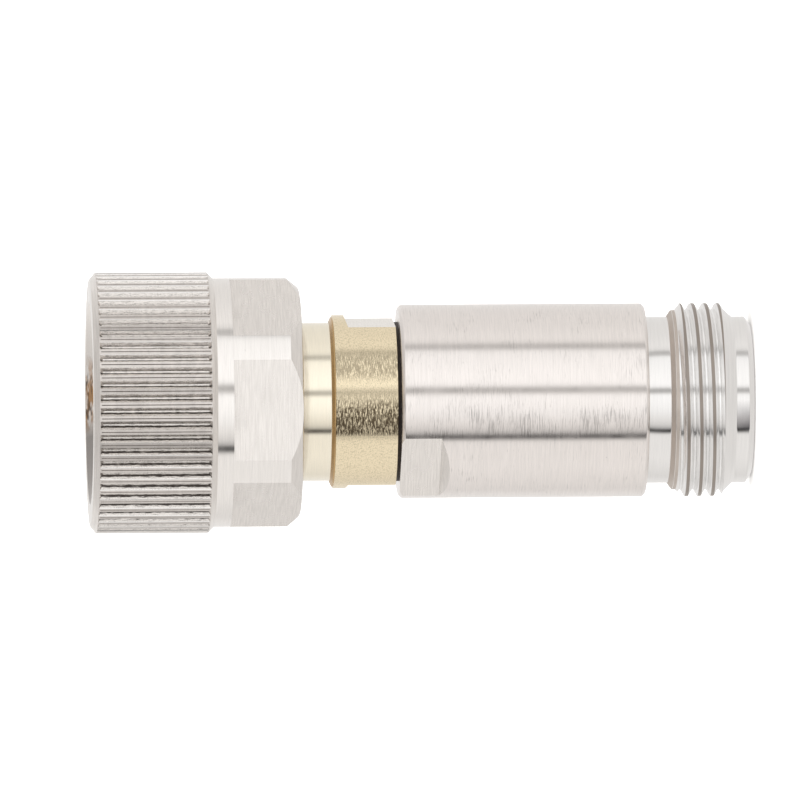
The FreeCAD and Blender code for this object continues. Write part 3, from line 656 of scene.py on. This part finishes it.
def finishes():
    """The finishes by name, made once."""
    if FINISHES:
        return FINISHES
    colours = bpy.context.scene.adapter_colours
    nut = bpy.context.scene.adapter_nut
    polish = {
        "roughness": 0.13, "blur": 0.7, "line_pitch": 0.12 * MM, "line_depth": 0.15e-6, "shade": 0.04}
    made = [
        # Stainless steel, turned: fine rings draw each reflection out along the axis and blur it.
        turned_metal(
            "turned_stainless", linear(colours.steel), roughness=0.20, blur=0.85,
            line_pitch=0.12 * MM, line_depth=2e-6, shade=0.12, pits=0.5),
        # Stainless steel, turned and handled: the same soft bands, with short dark scratches low down.
        turned_metal(
            "scuffed_stainless", linear("F0EAE6"), roughness=0.20, blur=0.85,
            line_pitch=0.10 * MM, line_depth=1.3e-6, pits=0.5, scuffs=0.6),
        # Stainless steel, milled: coarser cutter marks make the flats matt and faintly striped.
        turned_metal(
            "milled_stainless", linear("EEE9E4"), roughness=0.26, blur=0.6,
            line_pitch=0.10 * MM, line_depth=2.2e-6, shade=0.12),
        # Stainless steel, pressed by the knurling roll: greyer and duller than a turned face, no rings. On
        # the barrel it is painted shade on the down-facing walls of the flats.
        turned_metal(
            "rolled_stainless", linear("DAD4CF"), roughness=0.26, blur=0.0,
            line_pitch=0.5 * MM, line_depth=2e-6, shade=0.1),
        # Stainless steel, folded where two rolled teeth meet: a thin grey line along each crest.
        turned_metal(
            "seam_stainless", linear("8E8681"), roughness=0.3, blur=0.0,
            line_pitch=0.5 * MM, line_depth=1e-6, shade=0.2),
        # Stainless steel, burnished: nearly a mirror, so the neck shows the studio in sharp bands.
        turned_metal(
            "burnished_stainless", linear("F4F0EC"), roughness=0.15, blur=0.7,
            line_pitch=0.1 * MM, line_depth=0.4e-6, pits=0.4),
        # Stainless steel, polished and touched: a mirror with a grey film in one place.
        turned_metal(
            "smudged_stainless", linear(colours.bright_steel), **polish,
            film=(linear("959294"), -62.5, -61, -58, -41)),
        # Stainless steel, polished: clear bright and dark bands.
        turned_metal("polished_stainless", linear(colours.bright_steel), **polish),
        # Stainless steel, cut by the knurl's teeth: torn and sparkling, with painted shade as a dark line
        # along each groove.
        grooved_metal(
            "grooved_stainless", linear("F0EBE6"), linear(colours.groove_shade), nut.teeth, nut.clock),
        # Stainless steel, bored and stained: brown and black patches in the nut's mouth, and painted shade
        # over one side of it.
        stained_metal("stained_stainless", linear(colours.steel), linear("B9946F"), linear("4A4340")),
        # Stainless steel, cut by a threading tool: smooth flanks, a little grey from handling.
        turned_metal(
            "thread_stainless", linear("F8F7F6"), roughness=0.15, blur=0.0,
            line_pitch=0.2 * MM, line_depth=0.4e-6, shade=0.12),
        # Stainless steel, worn by the nuts that ran over the crests: matt and grey-brown.
        turned_metal(
            "worn_stainless", linear("A0978F"), roughness=0.4, blur=0.3,
            line_pitch=0.1 * MM, line_depth=1e-6),
        # Stainless steel, left as cut beside the thread: matt and brownish, without reflections.
        turned_metal(
            "dull_stainless", linear(colours.dull_steel), roughness=0.5, blur=0.3,
            line_pitch=0.1 * MM, line_depth=1e-6),
        # Spring steel, ground: dark grey and even.
        turned_metal(
            "spring_steel", linear("9A9A9E"), roughness=0.35, blur=0.0,
            line_pitch=0.2 * MM, line_depth=1e-6),
        # Brass, turned and gold plated: warm bands, and one side greyed in fine scratches, partly rubbed
        # plating and partly a painted dark reflection.
        worn_gold_with_painted_reflection("gold_plated_brass", linear(colours.gold), linear("5E5240"), roughness=0.22),
        # Brass, milled and thinly plated: almost white flats with hardly any gold.
        turned_metal(
            "milled_gold_brass", linear("F3EEE6"), roughness=0.2, blur=0.4,
            line_pitch=0.1 * MM, line_depth=0.6e-6, shade=0.08),
        # Brass, plated: a darker, browner ring at the step between the collar and the neck.
        turned_metal(
            "darker_gold_brass", linear("CFAE7C"), roughness=0.3, blur=0.3,
            line_pitch=0.1 * MM, line_depth=0.6e-6, shade=0.2),
        # Brass, polished and thinly plated: a pale gold mirror.
        turned_metal(
            "pale_gold_brass", linear(colours.pale_gold), roughness=0.13, blur=0.6,
            line_pitch=0.1 * MM, line_depth=0.15e-6, shade=0.04),
        # Spring alloy, hard gold plated: a deep, bright yellow.
        turned_metal(
            "contact_gold", linear("F0CF8A"), roughness=0.18, blur=0.3,
            line_pitch=0.1 * MM, line_depth=0.2e-6),
        # Fluoroplastic, moulded and turned: waxy white.
        plain_solid(
            "moulded_insulator", linear(colours.insulator), roughness=0.45, skin_size=0.3 * MM,
            skin_depth=2e-6),
        # Nitrile rubber, moulded: matt and nearly black.
        plain_solid(
            "seal_rubber", linear(colours.rubber), roughness=0.6, skin_size=0.1 * MM, skin_depth=4e-6),
        # Silicone rubber, moulded: matt red-brown.
        plain_solid(
            "gasket_silicone", linear(colours.silicone), roughness=0.5, skin_size=0.15 * MM,
            skin_depth=4e-6),
    ]
    FINISHES.update(made)
    return FINISHES


class ADAPTER_OT_nut(bpy.types.Operator):
    """Turn, knurl, mill and thread the coupling nut"""

    bl_idname = "adapter.nut"
    bl_label = "Coupling Nut"

    def execute(self, context):
        nut = context.scene.adapter_nut
        finish = finishes()
        rear = nut_low.z
        front = nut_high.z
        crest = nut.crest_radius
        knurl_start = front - 0.46 * MM
        knurl_end = knurl_start - nut.knurl_length
        middle = (knurl_end + front) / 2
        neck_start = knurl_end - 0.45 * MM
        hex_wall = front - 11.46 * MM
        bore = 6.56 * MM
        cavity = rear + 6.05 * MM
        cavity_radius = 8.1 * MM
        thread_crest = 7.42 * MM
        ring_floor = 7.25 * MM
        groove_low = rear + 3.75 * MM
        groove_high = rear + 5.05 * MM
        piece = turned("nut_shell", [
            (bore, rear), (9.26 * MM, rear), (9.46 * MM, rear + 0.1 * MM),
            (nut.neck_radius, rear + 1.05 * MM), (nut.neck_radius, neck_start), (crest, knurl_end),
            (crest, knurl_start), (10.15 * MM, front), (8.35 * MM, front),
            (thread_crest, front - 0.93 * MM), (thread_crest, cavity + 2.68 * MM),
            (cavity_radius, cavity + 2.0 * MM),
            (cavity_radius, cavity), (bore, cavity), (bore, groove_high), (ring_floor, groove_high),
            (ring_floor, groove_low), (bore, groove_low),
        ], NUT_COLUMNS)
        piece.rotation_euler.z = nut.clock
        settle(piece)
        piece.data.materials.append(finish["turned_stainless"])
        # The mouth's finish carries painted shade over one side.
        finish_faces(
            piece, finish["stained_stainless"],
            lambda radius, height, normal: radius < 8.5 * MM and height > front - 1.5 * MM)
        finish_faces(
            piece, finish["burnished_stainless"],
            lambda radius, height, normal:
            abs(radius - nut.neck_radius) < 0.02 * MM and rear + 1.1 * MM < height < neck_start)
        space = thread_space("inner_thread_space", [
            (7.3 * MM, 0.43 * MM), (7.4 * MM, 0.38 * MM), (7.46 * MM, 0.333 * MM), (7.95 * MM, 0.05 * MM),
        ], cavity + 1.2 * MM, 10, nut.clock)
        cut(piece, space, finish["stained_stainless"])
        soften(
            piece, nut.edge,
            lambda radius, height:
            radius > 8.2 * MM and (height > front - 0.01 * MM or height < rear + 0.2 * MM))
        reach = crest + 0.3 * MM
        apothem = nut.across_flats / 2
        half_side = apothem * math.tan(math.pi / 6)
        flat = bar("flat_cutter", [
            (apothem, -half_side), (reach, -half_side), (reach, half_side), (apothem, half_side),
        ], rear - MM, hex_wall)
        cut(piece, repeat_round(flat, 6, nut.clock), finish["milled_stainless"])
        finish_faces(
            piece, finish["rolled_stainless"],
            lambda radius, height, normal: radius > crest - 0.02 * MM and abs(height - middle) < 3 * MM)
        # The grooves take the grooved finish, with its painted shade along each floor.
        groove = groove_space("groove_cutter", nut, crest, knurl_end + 0.03 * MM, front - 0.5 * MM)
        cut(piece, repeat_round(groove, nut.teeth, nut.clock), finish["grooved_stainless"])
        groove_middle = crest - 0.6 * nut.groove_depth
        soften(
            piece, nut.tooth_edge,
            lambda radius, height: radius > groove_middle and abs(height - middle) < MM)
        finish_faces(
            piece, finish["polished_stainless"],
            lambda radius, height, normal:
            crest - 0.08 * MM < radius < crest - 0.004 * MM and abs(height - middle) < MM)
        seam = bar("seam_cutter", [
            (crest - nut.seam_depth, 0.0), (crest + nut.seam_depth, -nut.seam_width),
            (crest + nut.seam_depth, nut.seam_width),
        ], knurl_end + 0.1 * MM, front - 0.6 * MM)
        cut(piece, repeat_round(seam, nut.teeth, nut.clock + math.pi / nut.teeth), finish["seam_stainless"])
        smooth(piece)
        stand_for(piece, "coupling_nut", "nut")
        return {"FINISHED"}


class ADAPTER_OT_body(bpy.types.Operator):
    """Turn and mill the gold plated body"""

    bl_idname = "adapter.body"
    bl_label = "Plated Body"

    def execute(self, context):
        body = context.scene.adapter_body
        finish = finishes()
        low = brass_low.z
        top = brass_high.z
        bore = 3.5 * MM
        pocket = 5.0 * MM
        spigot = 6.27 * MM
        spigot_high = barrel_high.z - 0.3 * MM
        seam = 6.09 * MM
        collar_low = barrel_high.z + 0.3 * MM
        collar_high = collar_low + 5.1 * MM
        step = 0.16 * MM
        seal = nut_low.z + 1.5 * MM
        half_seal = 0.37 * MM
        seal_floor = 5.82 * MM
        ring_low = nut_low.z + 3.85 * MM
        ring_high = ring_low + 0.8 * MM
        ring_floor = 5.55 * MM
        piece = turned("plated_shell", [
            (bore, low), (spigot, low), (spigot, spigot_high),
            (seam, spigot_high), (seam, collar_low), (body.collar_radius, collar_low),
            (body.collar_radius, collar_high), (body.collar_radius - step, collar_high),
            (body.collar_radius - step, collar_high + 0.1 * MM), (body.neck_radius, collar_high + 0.32 * MM),
            (body.neck_radius, seal - half_seal), (seal_floor, seal - half_seal),
            (seal_floor, seal + half_seal), (body.neck_radius, seal + half_seal),
            (body.neck_radius, ring_low), (ring_floor, ring_low), (ring_floor, ring_high),
            (body.neck_radius, ring_high), (body.neck_radius, top), (pocket, top),
            (pocket, bead_low.z), (bore, bead_low.z),
        ], BODY_COLUMNS)
        piece.data.materials.append(finish["gold_plated_brass"])
        soften(piece, body.edge)
        finish_faces(
            piece, finish["darker_gold_brass"],
            lambda radius, height, normal: collar_high + 0.01 * MM < height < collar_high + 0.28 * MM)
        finish_faces(
            piece, finish["pale_gold_brass"],
            lambda radius, height, normal: height > collar_high + 0.28 * MM)
        apothem = body.across_flats / 2
        flat_high = collar_low + 3.9 * MM
        reach = body.collar_radius * 2
        slope = 0.25 * MM / (body.collar_radius - apothem)
        flat = crossbar("collar_cutter", [
            (apothem, collar_low - 0.15 * MM), (reach, collar_low - 0.15 * MM),
            (reach, flat_high + slope * (reach - apothem)), (apothem, flat_high),
        ], reach)
        cut(piece, repeat_round(flat, 2, body.clock), finish["milled_gold_brass"])
        smooth(piece)
        stand_for(piece, "plug_body", "adapter")
        return {"FINISHED"}


class ADAPTER_OT_barrel(bpy.types.Operator):
    """Turn, mill and thread the barrel and its jack"""

    bl_idname = "adapter.barrel"
    bl_label = "Barrel and Jack"

    def execute(self, context):
        barrel = context.scene.adapter_barrel
        finish = finishes()
        top = barrel_high.z
        rim = 6.83 * MM
        rim_low = 0.45 * MM
        rim_high = 1.5 * MM
        mouth = 4.1 * MM
        mouth_high = 9.65 * MM
        pocket = 5.0 * MM
        socket = 6.3 * MM
        socket_low = top - 9.0 * MM
        thread_low = 2.08 * MM
        thread_high = 6.2 * MM
        thread_end = 0.45 * MM
        relief = barrel.thread_root - 0.015 * MM
        neck = 6.84 * MM
        shoulder = 8.72 * MM
        break_width = 0.25 * MM
        piece = turned("barrel_shell", [
            (mouth + 0.35 * MM, 0), (rim - 0.7 * MM, 0), (rim, rim_low), (rim, rim_high),
            (relief, thread_low), (barrel.thread_radius, thread_low + thread_end),
            (barrel.thread_radius, thread_high - thread_end), (relief, thread_high),
            (relief, thread_high + 0.3 * MM), (neck, thread_high + 0.68 * MM), (neck, shoulder),
            (barrel.radius - break_width, shoulder), (barrel.radius, shoulder + break_width),
            (barrel.radius, top - break_width), (barrel.radius - break_width, top), (socket, top),
            (socket, socket_low), (pocket, socket_low), (pocket, mouth_high), (mouth, mouth_high),
            (mouth, 0.35 * MM),
        ], BODY_COLUMNS)
        piece.data.materials.append(finish["scuffed_stainless"])
        soften(piece, barrel.edge)
        apothem = barrel.across_flats / 2
        flat_low = top - 3.24 * MM
        reach = barrel.radius * 2
        slope = 0.75 * MM / (barrel.radius - apothem)
        flat = crossbar("barrel_cutter", [
            (apothem, top + MM), (reach, top + MM),
            (reach, flat_low - slope * (reach - apothem)), (apothem, flat_low),
        ], reach)
        cut(piece, repeat_round(flat, 2, math.pi / 2), finish["milled_stainless"])
        # Painted shade: the flats' sloped walls, which face down, take the darker rolled finish.
        finish_faces(
            piece, finish["rolled_stainless"],
            lambda radius, height, normal: normal.z < -0.3 and flat_low - MM < height < flat_low + 0.1 * MM)
        finish_faces(
            piece, finish["polished_stainless"],
            lambda radius, height, normal: radius > mouth + 0.4 * MM and height < shoulder - 0.01 * MM)
        finish_faces(
            piece, finish["smudged_stainless"],
            lambda radius, height, normal: radius > rim - 0.03 * MM and rim_low < height < rim_high)
        finish_faces(
            piece, finish["dull_stainless"],
            lambda radius, height, normal:
            (radius > 7.3 * MM and abs(normal.z) < 0.3 and 2.4 * MM < height < 6.5 * MM)
            or (radius > neck + 0.03 * MM and 6.5 * MM < height < 6.9 * MM))
        finish_faces(
            piece, finish["worn_stainless"],
            lambda radius, height, normal:
            radius > barrel.thread_radius - 0.03 * MM and 2.4 * MM < height < thread_high)
        space = thread_space("outer_thread_space", [
            (barrel.thread_root, 0.05 * MM), (barrel.thread_radius - 0.04 * MM, 0.343 * MM),
            (barrel.thread_radius, 0.39 * MM), (barrel.thread_radius + 0.1 * MM, 0.41 * MM),
        ], 0.915 * MM, 6, 0.0)
        cut(piece, space, finish["thread_stainless"])
        smooth(piece)
        stand_for(piece, "jack_body", "adapter")
        return {"FINISHED"}


class ADAPTER_OT_inside(bpy.types.Operator):
    """Turn the contacts and the gasket that show in the two mouths"""

    bl_idname = "adapter.inside"
    bl_label = "Contacts and Gasket"

    def execute(self, context):
        finish = finishes()
        line_bore = 3.5 * MM
        pocket_fit = 4.97 * MM
        conductor = 1.52 * MM
        half_slot = 0.15 * MM
        edge = 0.03 * MM
        tip = contact_high.z
        face = gasket_low.z
        sleeve = turned("contact_sleeve", [
            (line_bore, contact_low.z), (pocket_fit, contact_low.z), (pocket_fit, face), (4.0 * MM, face),
            (4.0 * MM, tip - 0.2 * MM), (3.8 * MM, tip), (line_bore, tip),
        ], RING_COLUMNS)
        slot = bar("slot_cutter", [
            (2.0 * MM, -half_slot), (6.0 * MM, -half_slot), (6.0 * MM, half_slot), (2.0 * MM, half_slot),
        ], tip - 5.2 * MM, tip + MM)
        sleeve.data.materials.append(finish["contact_gold"])
        cut(sleeve, repeat_round(slot, 4, math.radians(25)))
        soften(sleeve, edge)
        smooth(sleeve)
        stand_for(sleeve, "plug_contact", "adapter")

        pin = turned("contact_pin", [
            (0.7 * MM, pin_low.z), (0.7 * MM, bead_low.z), (1.2 * MM, bead_low.z), (1.2 * MM, bead_high.z),
            (conductor, bead_high.z), (conductor, tip - 5.7 * MM), (1.32 * MM, tip - 5.5 * MM),
            (0.825 * MM, tip - 5.5 * MM), (0.825 * MM, pin_high.z - 0.5 * MM), (0.4 * MM, pin_high.z),
        ], PIN_COLUMNS, solid=True)
        pin.data.materials.append(finish["contact_gold"])
        soften(pin, edge)
        smooth(pin)
        stand_for(pin, "plug_pin", "adapter")

        gasket = turned("gasket_ring", [
            (4.12 * MM, face), (gasket_high.x, face), (gasket_high.x, gasket_high.z),
            (4.12 * MM, gasket_high.z),
        ], RING_COLUMNS)
        gasket.data.materials.append(finish["gasket_silicone"])
        soften(gasket, 0.12 * MM)
        smooth(gasket)
        stand_for(gasket, "face_gasket", "adapter")

        socket_tip = socket_low.z
        socket = turned("contact_socket", [
            (1.03 * MM, socket_tip), (1.32 * MM, socket_tip), (conductor, socket_tip + 0.2 * MM),
            (conductor, bush_high.z), (0.9 * MM, bush_high.z), (0.83 * MM, bush_high.z - 0.2 * MM),
            (0.83 * MM, socket_tip + 0.2 * MM),
        ], PIN_COLUMNS)
        finger = bar("finger_cutter", [
            (0.3 * MM, -half_slot), (3.0 * MM, -half_slot), (3.0 * MM, half_slot), (0.3 * MM, half_slot),
        ], socket_tip - MM, socket_tip + 4.2 * MM)
        socket.data.materials.append(finish["contact_gold"])
        soften(socket, edge)
        cut(socket, repeat_round(finger, 4, math.radians(10)))
        smooth(socket)
        stand_for(socket, "jack_socket", "adapter")

        bush = turned("contact_bush", [
            (line_bore, bush_low.z), (4.07 * MM, bush_low.z), (4.07 * MM, bush_low.z + 0.55 * MM),
            (pocket_fit, bush_low.z + 0.55 * MM), (pocket_fit, bush_high.z), (line_bore, bush_high.z),
        ], RING_COLUMNS)
        bush.data.materials.append(finish["contact_gold"])
        soften(bush, edge)
        smooth(bush)
        stand_for(bush, "jack_bush", "adapter")
        return {"FINISHED"}


# What the CAD nodes that keep their own mesh are made of.
CARRIED_OVER = {
    "nut_snap_ring": "spring_steel",
    "nut_thrust_washer": "spring_steel",
    "neck_seal": "seal_rubber",
    "body_seal": "seal_rubber",
    "plug_bead_seal": "seal_rubber",
    "jack_bead_seal": "seal_rubber",
    "plug_bead": "moulded_insulator",
    "jack_bead": "moulded_insulator",
    "plug_bush": "contact_gold",
    "centre_rod": "contact_gold",
    "line_sleeve": "gold_plated_brass",
    "sleeve_clamp": "gold_plated_brass",
}


class ADAPTER_OT_carried(bpy.types.Operator):
    """Give the remaining CAD nodes their finish"""

    bl_idname = "adapter.carried"
    bl_label = "Inner Pieces"

    def execute(self, context):
        finish = finishes()
        for name, finish_name in CARRIED_OVER.items():
            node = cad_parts[name]
            node.data.materials.clear()
            node.data.materials.append(finish[finish_name])
        return {"FINISHED"}


# Light round the adapter, as brightness by direction in degrees from the camera, upwards in the
# picture: white panels with two thin dark joints between them, and a pale room all round.
TENT = [
    (-180, 0.85), (-148, 0.86), (-132, 0.80), (-112, 0.86), (-88, 0.92), (-54, 0.91), (-49.5, 0.88),
    (-47, 0.45), (-45, 0.05), (-42, 0.10), (-39.5, 0.52), (-35, 0.74), (-28, 0.88), (-16, 1.02),
    (-8, 1.09), (2, 1.13), (6.5, 1.10), (9, 0.78), (11.5, 0.48), (14.5, 0.52), (18, 1.02), (22, 1.15),
    (34, 1.14), (58, 1.06), (62, 0.98), (65.5, 0.62), (69.5, 0.52), (74, 0.84), (80, 0.93), (100, 0.87),
    (130, 0.84), (180, 0.85),
]
ROOM_ABOVE = (0.60, 0.585, 0.575, 1)
ROOM_BELOW = (0.82, 0.805, 0.79, 1)
# What the camera sees behind the adapter and what lights its matt faces: bright enough to come out white.
BACKGROUND = (2.0, 2.0, 2.0, 1)
FLOOR_SIZE = 6.0
# The floor lies a hair below the jack's rim, so the two faces don't fight for the same place.
FLOOR_GAP = 0.05 * MM


class ADAPTER_OT_stage(bpy.types.Operator):
    """Set the floor, the light and the camera"""

    bl_idname = "adapter.stage"
    bl_label = "Stage"

    def execute(self, context):
        scene = context.scene
        view = scene.adapter_view
        deselect()
        bpy.ops.mesh.primitive_plane_add(size=FLOOR_SIZE, location=(0, 0, -FLOOR_GAP))
        floor = context.object
        floor.name = "floor"
        # Uncoated paper, matt: an even pale ground without reflections.
        paper, tree = new_material("matt_paper")
        shell = add_node(tree, "ShaderNodeBsdfDiffuse", {"Color": linear("F6F5F3")})
        add_node(tree, "ShaderNodeOutputMaterial", {"Surface": shell.outputs[0]})
        floor.data.materials.append(paper)
        floor.visible_glossy = False

        world = bpy.data.worlds.new("light_tent")
        scene.world = world
        world.use_nodes = True
        tree = world.node_tree
        tree.nodes.clear()
        place = add_node(tree, "ShaderNodeTexCoord", {})
        turned_place = add_node(tree, "ShaderNodeMapping", {
            "vector_type": "POINT", "Rotation": (0, 0, math.pi / 2 - view.azimuth),
            "Vector": place.outputs["Generated"]})
        axes = add_node(tree, "ShaderNodeSeparateXYZ", {0: turned_place.outputs[0]})
        angle = add_node(tree, "ShaderNodeMath", {
            "operation": "ARCTAN2", 0: axes.outputs[1], 1: axes.outputs[0]})
        share = add_node(tree, "ShaderNodeMapRange", {
            "From Min": -math.pi, "From Max": math.pi, "Value": angle.outputs[0]})
        panels = add_node(tree, "ShaderNodeValToRGB", {"Fac": share.outputs[0]})
        stops = panels.color_ramp.elements
        while len(stops) < len(TENT):
            stops.new(0.5)
        for stop, (degrees, level) in zip(stops, TENT):
            stop.position = (degrees + 180) / 360
            warmth = 0.004 if level > 0.95 else 0.016
            stop.color = (level, level * (1 - warmth), level * (1 - 2 * warmth), 1)
        overhead = add_node(tree, "ShaderNodeMapRange", {
            "From Min": 0.45, "From Max": 0.95, "Value": axes.outputs[2]})
        underneath = add_node(tree, "ShaderNodeMapRange", {
            "From Min": -0.45, "From Max": -0.9, "Value": axes.outputs[2]})
        upper = add_node(tree, "ShaderNodeMix", {
            "data_type": "RGBA", 0: overhead.outputs[0], 6: panels.outputs[0], 7: ROOM_ABOVE})
        both = add_node(tree, "ShaderNodeMix", {
            "data_type": "RGBA", 0: underneath.outputs[0], 6: upper.outputs[2], 7: ROOM_BELOW})
        path = add_node(tree, "ShaderNodeLightPath", {})
        seen = add_node(tree, "ShaderNodeMix", {
            "data_type": "RGBA", 0: path.outputs["Is Glossy Ray"], 6: BACKGROUND, 7: both.outputs[2]})
        sky = add_node(tree, "ShaderNodeBackground", {"Color": seen.outputs[2]})
        add_node(tree, "ShaderNodeOutputWorld", {"Surface": sky.outputs[0]})

        back = Vector((
            math.sin(view.azimuth) * math.cos(view.elevation),
            -math.cos(view.azimuth) * math.cos(view.elevation),
            math.sin(view.elevation)))
        level_right = Vector((0, 0, -1))
        level_right = (level_right - back * level_right.dot(back)).normalized()
        level_up = back.cross(level_right)
        right = level_right * math.cos(view.roll) - level_up * math.sin(view.roll)
        up = back.cross(right)
        lens = bpy.data.cameras.new("photo_camera")
        camera = bpy.data.objects.new("photo_camera", lens)
        scene.collection.objects.link(camera)
        aim = Vector((0, 0, view.aim_height)) + up * view.aim_rise
        turn = Matrix((right, up, back)).transposed().to_4x4()
        camera.matrix_world = Matrix.Translation(aim + back * view.distance) @ turn
        lens.sensor_width = 36.0
        lens.lens = lens.sensor_width * view.distance / view.view_width
        lens.clip_start = 0.01
        lens.clip_end = 20.0
        scene.camera = camera
        scene.view_settings.view_transform = "Standard"
        return {"FINISHED"}


OPERATORS = (
    ADAPTER_OT_nut, ADAPTER_OT_body, ADAPTER_OT_barrel, ADAPTER_OT_inside, ADAPTER_OT_carried,
    ADAPTER_OT_stage,
)
GROUPS = {
    "adapter_nut": NutSizes,
    "adapter_body": BodySizes,
    "adapter_barrel": BarrelSizes,
    "adapter_colours": FinishColours,
    "adapter_view": CameraView,
}


class ADAPTER_PT_panel(bpy.types.Panel):
    """Lists the steps that dress the adapter"""

    bl_label = "Coaxial Adapter"
    bl_idname = "ADAPTER_PT_panel"
    bl_space_type = "VIEW_3D"
    bl_region_type = "UI"
    bl_category = "Adapter"

    def draw(self, context):
        for operator in OPERATORS:
            self.layout.operator(operator.bl_idname)
        for group in GROUPS:
            box = self.layout.box()
            sizes = getattr(context.scene, group)
            for name in sizes.__annotations__:
                box.prop(sizes, name)


def register():
    for group in GROUPS.values():
        bpy.utils.register_class(group)
    for name, group in GROUPS.items():
        setattr(bpy.types.Scene, name, bpy.props.PointerProperty(type=group))
    for operator in OPERATORS:
        bpy.utils.register_class(operator)
    bpy.utils.register_class(ADAPTER_PT_panel)


def unregister():
    bpy.utils.unregister_class(ADAPTER_PT_panel)
    for operator in reversed(OPERATORS):
        bpy.utils.unregister_class(operator)
    for name, group in GROUPS.items():
        delattr(bpy.types.Scene, name)
        bpy.utils.unregister_class(group)


def main():
    register()
    bpy.ops.adapter.nut()
    bpy.ops.adapter.body()
    bpy.ops.adapter.barrel()
    bpy.ops.adapter.inside()
    bpy.ops.adapter.carried()
    bpy.ops.adapter.stage()


if __name__ == "__main__":
    main()
